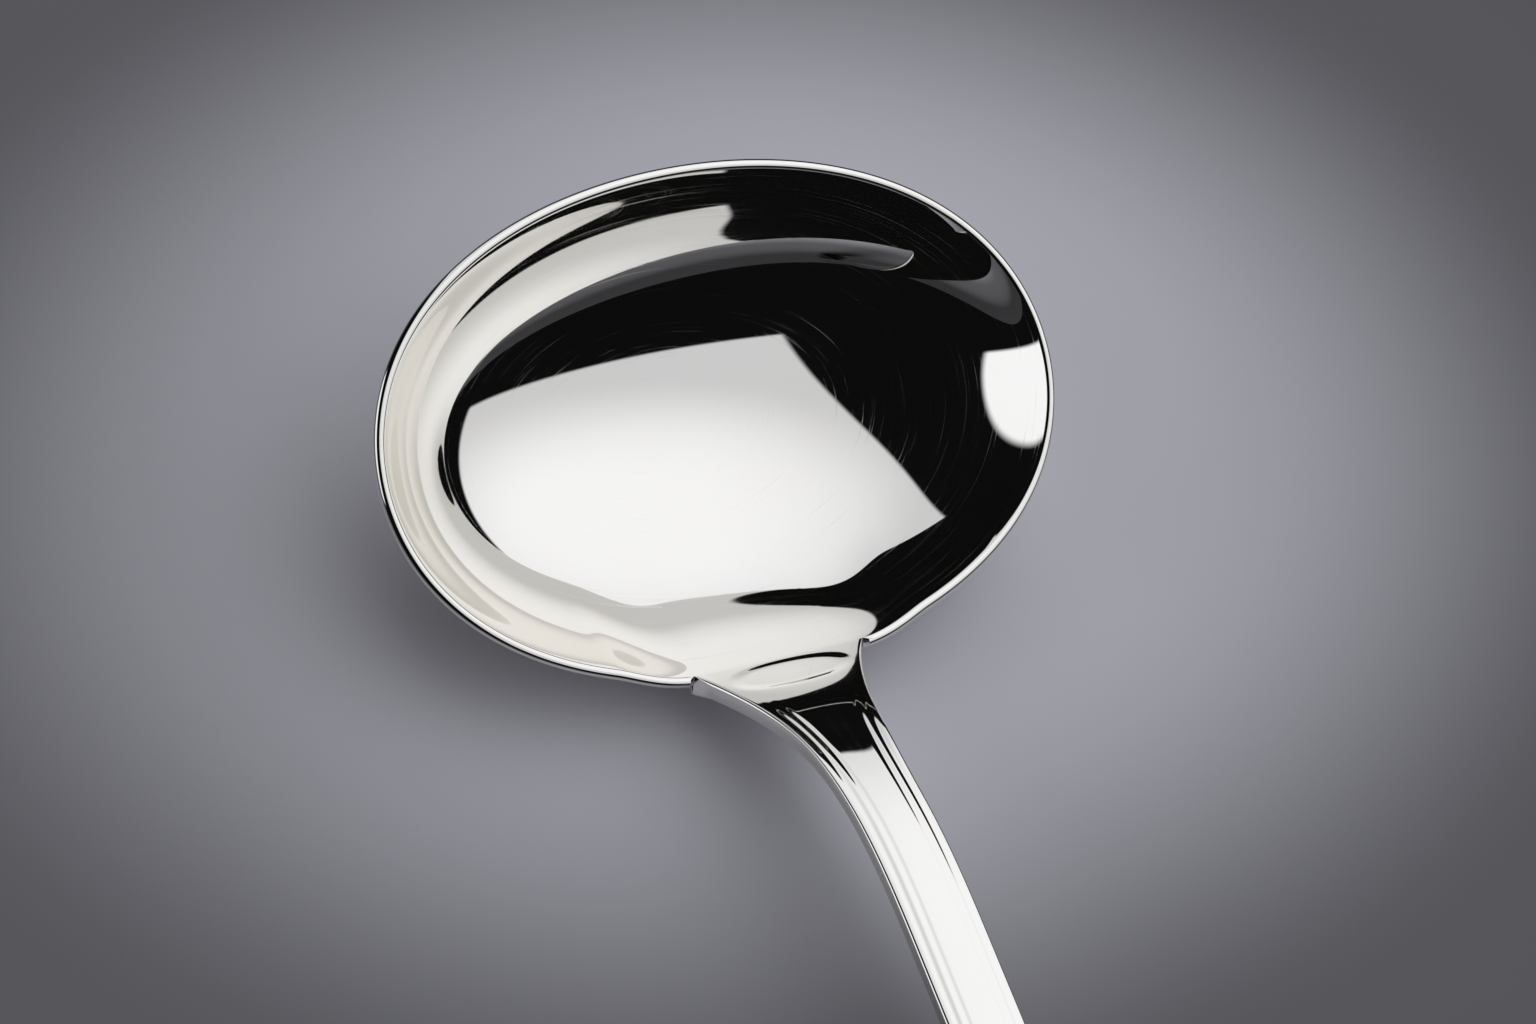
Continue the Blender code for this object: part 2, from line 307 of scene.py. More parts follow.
@dataclass
class HandleForm:
    """Surface of the handle.

    x goes across, and s along the handle's curve from the lip, negative down the bowl's wall.

    Args:
        bowl: Surface of the bowl.
        thread: Border along the edges.
        length: Length from the lip to the tip.
        flare_length: Length of the flared root.
        bend_start: Where the bend of the neck starts.
        bend_end: Where it ends.
        blade_start: Where the blade starts to broaden and to arch.
        end_reach: Length of the rounded end.
        stem_rise: Slope of the stem over the plane of the lip.
        tip_rise: Slope of the tip.
        root_width: Width at the lip.
        stem_width: Width of the stem.
        end_width: Width at the rounded end.
        flare_power: How fast the root narrows.
        neck_thickness: Thickness at the end of the flare.
        end_thickness: Thickness at the tip.
        crown: Rise of the domed panel over the edges.
        crown_start: Where the dome starts to rise.
        crown_end: Where it is full.
        crown_power: How flat the dome is for the slope of its borders.
        swell: Rise of the low swell at the root.
        swell_span: Where the swell starts, is full and ends.
        dish: Rise of the edges of the dished neck.
        dish_span: Where the dish starts, is full and ends.
        dish_power: How close to the edges the dish rises.
        root_round: Radius of the edges at the root.
        stem_round: Radius of the edges on the stem.
        round_span: Where the edges start to be round, and where they are fully so.
        side_share: Share of the thickness that the sides take up.
        undercut: Angle by which the sides lean in.
        undercut_fade: Length past the lip over which they come to lean.
        hollow: Depth of the thumb hollow.
        hollow_place: Where its middle lies.
        hollow_size: Half its breadth, and half its length.
        hollow_floor: Share of its size that is flat.
        hollow_power: How square its outline is.
        back_power: How square the section of the back is.
        heel_lap: Length of the heel on the bowl's outside.
        heel_thickness: Thickness of the heel at the lip.
        heel_tip: Thickness of the heel at its point.
        seat_gap: Gap between the heel and the bowl, for the solder.
        spine_steps: Steps of the handle's curve.
    """

    bowl: BowlForm
    thread: ThreadBorder
    length: float = 150.0 * MM
    flare_length: float = 28.3 * MM
    bend_start: float = 1.7 * MM
    bend_end: float = 41.0 * MM
    blade_start: float = 52.0 * MM
    end_reach: float = 13.0 * MM
    stem_rise: float = math.radians(22.8)
    tip_rise: float = math.radians(6.0)
    root_width: float = 19.5 * MM
    stem_width: float = 8.1 * MM
    end_width: float = 21.0 * MM
    flare_power: float = 3.0
    neck_thickness: float = 3.4 * MM
    end_thickness: float = 2.2 * MM
    crown: float = 0.5 * MM
    crown_start: float = 12.0 * MM
    crown_end: float = 32.0 * MM
    crown_power: float = 2.2
    swell: float = 0.25 * MM
    swell_span: Triple = (0.5 * MM, 8.5 * MM, 15.0 * MM)
    dish: float = 0.2 * MM
    dish_span: Triple = (8.0 * MM, 15.0 * MM, 23.0 * MM)
    dish_power: float = 4.0
    root_round: float = 0.4 * MM
    stem_round: float = 0.3 * MM
    round_span: Pair = (-0.5 * MM, 2.0 * MM)
    side_share: float = 0.6
    undercut: float = math.radians(16.0)
    undercut_fade: float = 1.5 * MM
    hollow: float = 0.08 * MM
    hollow_place: float = 2.5 * MM
    hollow_size: Pair = (7.4 * MM, 2.5 * MM)
    hollow_floor: float = 0.7
    hollow_power: float = 2.2
    back_power: float = 2.2
    heel_lap: float = 6.0 * MM
    heel_thickness: float = 0.8 * MM
    heel_tip: float = 0.35 * MM
    seat_gap: float = 0.5 * MM
    spine_steps: int = 1500
    wall_length: float = field(init=False)
    root_rise: float = field(init=False)
    root_half: float = field(init=False)
    lap_depth: float = field(init=False)
    root_thickness: float = field(init=False)
    end_centre: float = field(init=False)
    spine: list[Vector] = field(init=False)
    root_ease: float = field(init=False)

    def __post_init__(self) -> None:
        """Fit the root to the bowl, and step the handle's curve from the lip to the tip."""
        wall = self.bowl.up_wall(0.0, 1.0)
        self.wall_length = wall.length
        self.root_rise = math.atan2(wall.z, -wall.y)
        self.root_half = self.root_width / 2
        self.lap_depth = self.bowl.wall + self.seat_gap
        self.root_thickness = self.lap_depth + self.heel_thickness
        self.end_centre = self.length - self.end_reach
        step = self.length / self.spine_steps
        self.spine = [Vector((0.0, -self.bowl.half_width, 0.0))]
        for index in range(self.spine_steps):
            slope = self.rise((index + 0.5) * step)
            way = Vector((0.0, -math.cos(slope), math.sin(slope)))
            self.spine.append(self.spine[-1] + step * way)
        self.root_ease = self.ease_length()

    def rise(self, s: float) -> float:
        """Slope over the plane of the lip: the wall's own, then the neck's bend, then the arch.

        Args:
            s: Distance along the handle.

        Returns:
            Angle.
        """
        bend = mix(self.root_rise, self.stem_rise, smoothstep(self.bend_start, self.bend_end, s))
        arch = max(s - self.blade_start, 0.0) / (self.length - self.blade_start)
        return bend + (self.tip_rise - self.stem_rise) * arch**2

    def half_width(self, s: float) -> float:
        """Half the handle's width before its rounded end.

        Args:
            s: Distance along the handle.

        Returns:
            Half width.
        """
        flare = max(1.0 - max(s, 0.0) / self.flare_length, 0.0) ** self.flare_power
        blade = smoothstep(self.blade_start, self.end_centre, s)
        root = (self.root_width - self.stem_width) * flare
        return (self.stem_width + root + (self.end_width - self.stem_width) * blade) / 2

    def lip_lag(self, angle: float) -> float:
        """How far the lip lies behind its nearest place."""
        return self.bowl.inside(angle, 1.0).y + self.bowl.half_width

    def ease_length(self) -> float:
        """Length over which the lip's curve dies out in the handle, so that they meet smoothly.

        Returns:
            Length along the handle.
        """
        angle = self.bowl.near_angle(self.root_half, 1.0)
        normal = self.bowl.normal(angle, 1.0)
        rate = -self.flare_power * (self.root_width - self.stem_width) / 2 / self.flare_length
        along = Vector((rate, -math.cos(self.root_rise), math.sin(self.root_rise)))
        return 2.0 * normal.y * self.lip_lag(angle) / normal.dot(along)

    def surface(self, x: float, s: float) -> tuple[Vector, Vector]:
        """Surface seen from above: the bowl's inside below the lip, the handle past it.

        Args:
            x: Place across.
            s: Distance along the handle.

        Returns:
            Point and normal.
        """
        if s < 0.0:
            reach = 1.0 + s / self.wall_length
            angle = self.bowl.near_angle(x, reach)
            return self.bowl.inside(angle, reach), self.bowl.normal(angle, reach)
        place = min(s / self.length, 1.0) * self.spine_steps
        index = min(int(place), self.spine_steps - 1)
        middle = self.spine[index].lerp(self.spine[index + 1], place - index)
        ease = max(1.0 - s / self.root_ease, 0.0) ** 2
        root_x = x * self.root_half / self.half_width(s)
        angle = self.bowl.near_angle(min(max(root_x, -self.root_half), self.root_half), 1.0)
        slope = self.rise(s)
        point = middle + Vector((x, ease * self.lip_lag(angle), 0.0))
        upright = Vector((0.0, math.sin(slope), math.cos(slope)))
        return point, upright.lerp(self.bowl.normal(angle, 1.0), ease).normalized()

    def place(self, x: float, s: float, depth: float) -> Vector:
        """Point a depth below the surface seen from above."""
        point, normal = self.surface(x, s)
        return point - depth * normal

    def top_height(self, share: float, s: float) -> float:
        """Height of the top: a low swell at the root, a dished neck and a crowned stem.

        Args:
            share: Share of the way from the middle to the edge.
            s: Distance along the handle.

        Returns:
            Height over the plain surface.
        """
        crown = self.crown * smoothstep(self.crown_start, self.crown_end, s)
        crown += self.swell * hump(self.swell_span, s)
        dish = self.dish * hump(self.dish_span, s)
        return crown * (1.0 - share**self.crown_power) + dish * share**self.dish_power

    def hollow_depth(self, x: float, s: float) -> float:
        """Depth of the shallow thumb hollow just past the lip.

        Args:
            x: Place across.
            s: Distance along the handle.

        Returns:
            Depth below the plain surface.
        """
        breadth, length = self.hollow_size
        across = abs(x / breadth) ** self.hollow_power
        along = abs((s - self.hollow_place) / length) ** self.hollow_power
        reach = (across + along) ** (1.0 / self.hollow_power)
        return self.hollow * (1.0 - smoothstep(self.hollow_floor, 1.0, reach))

    def thickness(self, s: float) -> float:
        """Depth of the back's middle below the edges.

        Args:
            s: Distance along the handle.

        Returns:
            Depth.
        """
        if s < 0.0:
            return mix(self.root_thickness, self.lap_depth + self.heel_tip, -s / self.heel_lap)
        neck = smoothstep(0.0, self.flare_length, s)
        blade = smoothstep(self.blade_start, self.length, s)
        return mix(mix(self.root_thickness, self.neck_thickness, neck), self.end_thickness, blade)

    def side_depth(self, s: float) -> float:
        """Depth of the side's foot.

        Args:
            s: Distance along the handle.

        Returns:
            Depth.
        """
        if s < 0.0:
            return mix(self.lap_depth, self.thickness(s), self.side_share)
        root = self.lap_depth + self.heel_thickness / 2
        neck = smoothstep(0.0, self.flare_length, s)
        return mix(root, self.side_share * self.thickness(s), neck)


def skin(columns: Columns, marks: Marks) -> bmesh.types.BMesh:
    """Mesh over columns of points: a flat grid, moved to the points and welded where they meet.

    Args:
        columns: Columns of points, all of one length.
        marks: Surface coordinates of the same points, for the UV map.

    Returns:
        The mesh, with its faces pointing outwards.
    """
    across = len(columns) - 1
    rows = len(columns[0]) - 1
    bm = bmesh.new()
    bmesh.ops.create_grid(bm, x_segments=across, y_segments=rows, size=0.5)
    layer = bm.loops.layers.uv.new(SURFACE_UV)
    for face in bm.faces:
        for loop in face.loops:
            co = loop.vert.co
            loop[layer].uv = marks[round((co.x + 0.5) * across)][round((co.y + 0.5) * rows)]
    for vert in bm.verts:
        column = columns[round((vert.co.x + 0.5) * across)]
        vert.co = column[round((vert.co.y + 0.5) * rows)]
    bmesh.ops.remove_doubles(bm, verts=bm.verts, dist=WELD)
    bmesh.ops.dissolve_degenerate(bm, edges=bm.edges, dist=WELD)
    bmesh.ops.recalc_face_normals(bm, faces=bm.faces)
    return bm


def wear_flat(bm: bmesh.types.BMesh) -> None:
    """Cut a mesh off at the floor and fill the cut.

    Args:
        bm: The mesh.
    """
    cut = bmesh.ops.bisect_plane(
        bm,
        geom=bm.verts[:] + bm.edges[:] + bm.faces[:],
        dist=WELD,
        plane_co=(0.0, 0.0, 0.0),
        plane_no=(0.0, 0.0, -1.0),
        clear_outer=True,
    )
    rim = [edge for edge in cut["geom_cut"] if isinstance(edge, bmesh.types.BMEdge)]
    if rim:
        bmesh.ops.edgeloop_fill(bm, edges=rim)
        bmesh.ops.recalc_face_normals(bm, faces=bm.faces)


def add_object(
    name: str, bm: bmesh.types.BMesh, material: bpy.types.Material
) -> bpy.types.Object:
    """Make an object of a mesh.

    Args:
        name: Name of the object.
        bm: Its mesh, which is freed.
        material: Its finish.

    Returns:
        The object, linked to the scene.
    """
    mesh = bpy.data.meshes.new(name)
    bm.to_mesh(mesh)
    bm.free()
    mesh.materials.append(material)
    mesh.shade_smooth()
    mesh.set_sharp_from_angle(angle=SHARP)
    piece = bpy.data.objects.new(name, mesh)
    bpy.context.scene.collection.objects.link(piece)
    return piece


def ramp(tree: Tree, value: Socket, span: Pair, levels: Pair, ease: Ease) -> Socket:
    """Ramp of a value, level before and after.

    Args:
        tree: Node tree.
        value: The value.
        span: Values at which the ramp starts and ends.
        levels: Levels there.
        ease: How it goes from one level to the other.

    Returns:
        Socket with the level.
    """
    node = tree.nodes.new("ShaderNodeMapRange")
    node.interpolation_type = ease.value
    node.inputs["From Min"].default_value, node.inputs["From Max"].default_value = span
    node.inputs["To Min"].default_value, node.inputs["To Max"].default_value = levels
    tree.links.new(value, node.inputs["Value"])
    return node.outputs["Result"]


def cosine(tree: Tree, direction: Socket, way: Triple) -> Socket:
    """How far a direction points a given way.

    Args:
        tree: Node tree.
        direction: The direction.
        way: The way.

    Returns:
        Socket with the cosine between the two.
    """
    node = tree.nodes.new("ShaderNodeVectorMath")
    node.operation = "DOT_PRODUCT"
    node.inputs[1].default_value = way
    tree.links.new(direction, node.inputs[0])
    return node.outputs["Value"]


@dataclass(frozen=True)
class SilverFinish:
    """Mirror-polished silver plate with fine wiping scratches that follow the surface.

    Args:
        name: Name of the material.
        colour: Colour of the silver.
        polish: Roughness between the scratches.
        scratched: Roughness added in a scratch.
        grain: How often the scratches repeat along and across the wiping.
        rarity: Levels of the wiping pattern at which a scratch starts and is full.
        grain_detail: Detail of the wiping pattern.
        patch_scale: How often the patches repeat.
        patch_detail: Detail of the patches.
        patch_span: Levels of the patches at which the plate is tinted, and clear.
        patch_tint: Tint of a patch.
    """

    name: str
    colour: Triple = (0.93, 0.915, 0.89)
    polish: float = 0.02
    scratched: float = 0.34
    grain: Pair = (7.0, 320.0)
    rarity: Pair = (0.62, 0.8)
    grain_detail: float = 2.0
    patch_scale: float = 45.0
    patch_detail: float = 3.0
    patch_span: Pair = (0.3, 0.7)
    patch_tint: Triple = (0.985, 0.975, 0.955)

    def material(self) -> bpy.types.Material:
        """Build the material.

        Returns:
            The material.
        """
        material = bpy.data.materials.new(self.name)
        material.use_nodes = True
        shader = material.node_tree.nodes["Principled BSDF"]
        shader.inputs["Metallic"].default_value = 1.0
        self.add_scratches(material.node_tree, shader)
        self.add_patches(material.node_tree, shader)
        return material

    def add_scratches(self, tree: Tree, shader: bpy.types.Node) -> None:
        """Roughen the silver in fine lines along the wiping.

        Args:
            tree: Node tree of the material.
            shader: Its surface shader.
        """
        place = tree.nodes.new("ShaderNodeUVMap")
        place.uv_map = SURFACE_UV
        stretch = tree.nodes.new("ShaderNodeMapping")
        stretch.inputs["Scale"].default_value = (*self.grain, 1.0)
        wiping = tree.nodes.new("ShaderNodeTexNoise")
        wiping.inputs["Scale"].default_value = 1.0
        wiping.inputs["Detail"].default_value = self.grain_detail
        tree.links.new(place.outputs["UV"], stretch.inputs["Vector"])
        tree.links.new(stretch.outputs["Vector"], wiping.inputs["Vector"])
        levels = (self.polish, self.polish + self.scratched)
        roughness = ramp(tree, wiping.outputs["Fac"], self.rarity, levels, Ease.STRAIGHT)
        tree.links.new(roughness, shader.inputs["Roughness"])

    def add_patches(self, tree: Tree, shader: bpy.types.Node) -> None:
        """Give the silver the faint warm and cool patches of a plate that has been handled.

        Args:
            tree: Node tree of the material.
            shader: Its surface shader.
        """
        place = tree.nodes.new("ShaderNodeTexCoord")
        patches = tree.nodes.new("ShaderNodeTexNoise")
        patches.inputs["Scale"].default_value = self.patch_scale
        patches.inputs["Detail"].default_value = self.patch_detail
        tint = tree.nodes.new("ShaderNodeValToRGB")
        tinted, clear = tint.color_ramp.elements
        tinted.position, clear.position = self.patch_span
        tinted.color = (*(part * dim for part, dim in zip(self.colour, self.patch_tint)), 1.0)
        clear.color = (*self.colour, 1.0)
        tree.links.new(place.outputs["Object"], patches.inputs["Vector"])
        tree.links.new(patches.outputs["Fac"], tint.inputs["Fac"])
        tree.links.new(tint.outputs["Color"], shader.inputs["Base Color"])


@dataclass
class Bowl:
    """The shell, round at its lip and flat where the handle butts on it.

    Args:
        form: Its surface.
        handle: Surface of the handle.
        rest: How it lies.
        finish: Its finish.
        clearance: Gap beside the handle's root.
        notch_ramp: Length over which the lip goes from flat to round there.
        lip_steps: Steps round the lip past the handle.
        inside_steps: Steps up the inside.
        outside_steps: Steps down the outside.
        nose_steps: Steps over the lip.
        nose_mark: Breadth of the lip in surface coordinates.
    """

    form: BowlForm
    handle: HandleForm
    rest: Rest
    finish: SilverFinish
    clearance: float = 0.15 * MM
    notch_ramp: float = 0.4 * MM
    lip_steps: int = 288
    inside_steps: int = 72
    outside_steps: int = 40
    nose_steps: int = 14
    nose_mark: float = 0.05

    def column(self, angle: float, nose: float) -> tuple[list[Vector], list[Pair]]:
        """Section from the floor's deepest place, over the lip, to the outside below that place.

        Args:
            angle: Angle round the oval.
            nose: 1 for a round lip, 0 for a flat one.

        Returns:
            Points and their surface coordinates.
        """
        form = self.form
        inner = quarter(self.inside_steps)
        outer = quarter(self.outside_steps)[::-1]
        normal = form.normal(angle, 1.0)
        upward = form.up_wall(angle, 1.0).normalized()
        middle = form.point(angle, 1.0, form.wall / 2)
        points = [form.inside(angle, reach) for reach in inner]
        places = list(inner)
        for step in range(1, self.nose_steps):
            turn = math.pi * step / self.nose_steps
            way = math.cos(turn) * normal + nose * math.sin(turn) * upward
            points.append(middle + form.wall / 2 * way)
            places.append(1.0 + self.nose_mark * step / self.nose_steps)
        points += [form.point(angle, reach, form.wall) for reach in outer]
        places += [2.0 + self.nose_mark - reach for reach in outer]
        return points, [(angle / math.tau, place) for place in places]

    def build(self, seam: list[float]) -> bpy.types.Object:
        """Build the shell.

        Args:
            seam: Places across at which the handle's top meets the lip.

        Returns:
            The piece.
        """
        form = self.form
        notch = self.handle.root_half + self.clearance
        full = form.near_angle(notch + self.notch_ramp, 1.0)
        stations = [-notch] + seam + [notch]
        sections = [self.column(form.near_angle(x, 1.0), 0.0) for x in stations]
        span = math.tau - 2.0 * full
        turns = [full + span * step / self.lip_steps for step in range(self.lip_steps + 1)]
        sections += [self.column(turn, 1.0) for turn in turns]
        closing = self.column(math.tau + form.near_angle(-notch, 1.0), 0.0)
        sections.append((sections[0][0], closing[1]))
        bm = skin([points for points, _ in sections], [marks for _, marks in sections])
        bmesh.ops.transform(bm, matrix=self.rest.matrix(), verts=bm.verts)
        wear_flat(bm)
        piece = add_object("bowl_shell", bm, self.finish.material())
        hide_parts("bowl")
        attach(piece, "root")
        return piece


@dataclass
class Handle:
    """The handle, from the heel on the bowl's outside to its rounded end.

    Args:
        form: Its surface.
        rest: How it lies.
        finish: Its finish.
        heel_steps: Steps along the heel.
        stem_steps: Steps from the lip to the rounded end.
        stem_crowding: How much closer these are at the root.
        end_steps: Steps round the rounded end.
        panel_steps: Steps across half the panel.
        thread_steps: Steps across the border.
        round_steps: Steps round the edge.
        back_steps: Steps across half the back.
        mark_length: Length along the handle of one unit of its surface coordinates.
    """

    form: HandleForm
    rest: Rest
    finish: SilverFinish
    heel_steps: int = 24
    stem_steps: int = 220
    stem_crowding: float = 1.4
    end_steps: int = 40
    panel_steps: int = 24
    thread_steps: int = 24
    round_steps: int = 6
    back_steps: int = 16
    mark_length: float = 100.0 * MM

    def top_shares(self, half: float, scale: float) -> list[Pair]:
        """Places across one half of the top, from the middle to the start of the edge's rounding.

        Args:
            half: Half width.
            scale: Scale of the border where the handle is narrower than its stem.

        Returns:
            Shares of the half width, and offsets from the edge.
        """
        thread = self.form.thread
        panel = 1.0 - scale * thread.inner / half
        steps = self.panel_steps
        shares = [(panel * step / steps, thread.inner) for step in range(steps)]
        for step in range(self.thread_steps + 1):
            offset = mix(thread.inner, thread.outer, step / self.thread_steps)
            shares.append((1.0 - scale * offset / half, offset))
        return shares

    def column(self, base_s: float, edge_x: float, edge_s: float, lapped: bool) -> list[Vector]:
        """Half section from the middle of the top, round the edge, to the middle of the back.

        Args:
            base_s: Distance along the handle of the section's middle.
            edge_x: Place across of its edge.
            edge_s: Distance along the handle of its edge.
            lapped: Whether the section lies on the bowl's outside.

        Returns:
            Points.
        """
        form = self.form
        length = max(math.hypot(edge_x, edge_s - base_s), WELD)
        scale = min(1.0, 2.0 * length / form.stem_width)
        neck = smoothstep(0.0, form.flare_length, base_s)
        corner = mix(form.root_round, form.stem_round, neck)
        corner *= smoothstep(*form.round_span, base_s)
        side = form.side_depth(edge_s)
        points = []
        for share, offset in self.top_shares(length, scale):
            cut = form.thread.cut(offset, edge_s) + form.hollow_depth(share * edge_x, base_s)
            cut -= form.top_height(share, base_s)
            points.append((share, form.lap_depth if lapped else cut))
        for step in range(self.round_steps + 1):
            turn = math.pi / 2 * step / self.round_steps
            inset = scale * corner * (1.0 - math.sin(turn)) / length
            depth = corner * (1.0 - math.cos(turn)) - form.top_height(1.0 - inset, base_s)
            points.append((1.0, form.lap_depth) if lapped else (1.0 - inset, depth))
        top = points[-1][1]
        lean = math.tan(form.undercut) * smoothstep(0.0, form.undercut_fade, base_s)
        foot = 1.0 - scale * lean * (side - top) / length
        points.append((mix(1.0, foot, 0.5), mix(top, side, 0.5)))
        for step in range(self.back_steps + 1):
            share = math.cos(math.pi / 2 * step / self.back_steps)
            bulge = (1.0 - share**form.back_power) ** (1.0 / form.back_power)
            back = form.thickness(mix(base_s, edge_s, foot * share))
            points.append((foot * share, mix(side, back, bulge)))
        return [
            form.place(share * edge_x, mix(base_s, edge_s, share), depth)
            for share, depth in points
        ]

    def half(self, sign: float) -> tuple[Columns, list[float]]:
        """One half, from the heel's point past the butt and along the stem to the end.

        Args:
            sign: -1 for the left half, 1 for the right.

        Returns:
            Columns, and how far each lies along the handle.
        """
        form = self.form
        columns = []
        along = []
        for step in range(self.heel_steps + 1):
            turn = math.pi / 2 * step / self.heel_steps
            s = -form.heel_lap * math.cos(turn)
            columns.append(self.column(s, sign * form.root_half * math.sin(turn), s, True))
            along.append(s)
        for step in range(self.stem_steps + 1):
            s = form.end_centre * (step / self.stem_steps) ** self.stem_crowding
            columns.append(self.column(s, sign * form.half_width(s), s, False))
            along.append(s)
        for step in range(1, self.end_steps + 1):
            turn = math.pi / 2 * step / self.end_steps
            edge_x = sign * form.end_width / 2 * math.cos(turn)
            edge_s = form.end_centre + form.end_reach * math.sin(turn)
            columns.append(self.column(form.end_centre, edge_x, edge_s, False))
            along.append(edge_s)
        return columns, along

    def seam(self) -> list[float]:
        """Places across at which the top meets the lip, from left to right.

        Returns:
            Places across.
        """
        half = self.form.root_half
        right = [share * half for share, _ in self.top_shares(half, 1.0)] + [half]
        return [-x for x in reversed(right)] + right[1:]

    def build(self) -> bpy.types.Object:
        """Build the handle.

        Returns:
            The piece.
        """
        left, along = self.half(-1.0)
        right, _ = self.half(1.0)
        columns = left + right[-2::-1]
        stations = along + along[-2::-1]
        rows = len(columns[0])
        marks = [[(s / self.mark_length, row / rows) for row in range(rows)] for s in stations]
        bm = skin(columns, marks)
        bmesh.ops.transform(bm, matrix=self.rest.matrix(), verts=bm.verts)
        wear_flat(bm)
        piece = add_object("handle_blade", bm, self.finish.material())
        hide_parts("handle")
        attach(piece, "root")
        return piece


@dataclass
class SolderFillet:
    """The solder between the heel and the bowl's outside, drawn out into a fillet round the heel.

    Args:
        form: Surface of the handle.
        rest: How it lies.
        finish: Its finish.
        inset: How far it goes in under the heel.
        foot: How far it runs out on the bowl.
        waist: How far out its hollow face is at its middle, and how far off the bowl.
        climb: How far out it is on the heel's edge, and how far up that edge it climbs.
        reach: Angle round the heel, to either side of its point, at which it ends.
        steps: Steps round the heel.
    """

    form: HandleForm
    rest: Rest
    finish: SilverFinish
    inset: float = 0.5 * MM
    foot: float = 0.45 * MM
    waist: Pair = (0.18 * MM, 0.2 * MM)
    climb: Pair = (0.03 * MM, 0.06 * MM)
    reach: float = math.radians(88.0)
    steps: int = 96

    def section(self) -> list[Pair]:
        """Closed section of the fillet.

        Returns:
            Offsets out from the heel's outline, and depths below the bowl's inside.
        """
        wall, lap = self.form.bowl.wall, self.form.lap_depth
        waist_offset, waist_depth = self.waist
        climb_offset, climb_depth = self.climb
        corners = [(-self.inset, wall), (self.foot, wall), (waist_offset, wall + waist_depth)]
        corners += [(climb_offset, lap + climb_depth), (0.0, lap), (-self.inset, lap)]
        return corners + corners[:1]

    def column(self, turn: float) -> list[Vector]:
        """Section at one place round the heel.

        Args:
            turn: Angle round the heel from its point.

        Returns:
            Points.
        """
        form = self.form
        x, s = form.root_half * math.sin(turn), -form.heel_lap * math.cos(turn)
        outward = Vector((form.heel_lap * math.sin(turn), -form.root_half * math.cos(turn)))
        outward.normalize()
        return [
            form.place(x + offset * outward.x, s + offset * outward.y, depth)
            for offset, depth in self.section()
        ]

    def build(self) -> bpy.types.Object:
        """Build the solder.

        Returns:
            The piece.
        """
        steps = range(self.steps + 1)
        turns = [mix(-self.reach, self.reach, step / self.steps) for step in steps]
        columns = [self.column(turn) for turn in turns]
        for end in (0, -1):
            corners = columns[end][:-1]
            middle = sum(corners, Vector()) / len(corners)
            columns[end] = [middle] * len(columns[end])
        rows = len(columns[0])
        marks = [[(turn / math.pi, row / rows) for row in range(rows)] for turn in turns]
        bm = skin(columns, marks)
        bmesh.ops.transform(bm, matrix=self.rest.matrix(), verts=bm.verts)
        piece = add_object("solder_fillet", bm, self.finish.material())
        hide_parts("solder_seam")
        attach(piece, "root")
        return piece


@dataclass(frozen=True)
class SoftLight:
    """A large soft light, told by the directions in which it is seen.

    Args:
        edges: For each edge, the direction across it into the light, and how far in it lies.
        softness: Half the breadth of an edge's fade.
        middle: Direction of its brightest place.
        spread: How far from that place, as a cosine, it is down to its lower level.
        levels: Level at the spread, and at the brightest place.
    """

    edges: tuple[tuple[Triple, float], ...]
    softness: float
    middle: Triple
    spread: float
    levels: Pair

    def level(self, tree: Tree, direction: Socket) -> Socket:
        """Level of the light in a direction.

        Args:
            tree: Node tree of the world.
            direction: The direction.

        Returns:
            Socket with the level, 0 outside the light.
        """
        nearness = cosine(tree, direction, self.middle)
        total = ramp(tree, nearness, (self.spread, 1.0), self.levels, Ease.SMOOTH)
        for way, inset in self.edges:
            span = (inset - self.softness, inset + self.softness)
            share = ramp(tree, cosine(tree, direction, way), span, (0.0, 1.0), Ease.SMOOTH)
            product = tree.nodes.new("ShaderNodeMath")
            product.operation = "MULTIPLY"
            tree.links.new(total, product.inputs[0])
            tree.links.new(share, product.inputs[1])
            total = product.outputs["Value"]
        return total


WINDOW_LIGHT = SoftLight(
    edges=(
        ((0.9638, 0.1349, 0.23), 0.0),
        ((0.1142, 0.529, 0.8409), 0.0),
        ((-0.274, -0.311, 0.91), 0.0),
    ),
    softness=0.012,
    middle=(0.578, 0.21, 0.788),
    spread=0.55,
    levels=(0.66, 1.03),
)
ROUND_LIGHT = SoftLight(
    edges=(((-0.97, 0.2405, -0.029), 0.841), ((-0.04, 0.823, 0.568), 0.0)),
    softness=0.02,
    middle=(-0.97, 0.2405, -0.029),
    spread=0.5,
    levels=(1.0, 1.03),
)


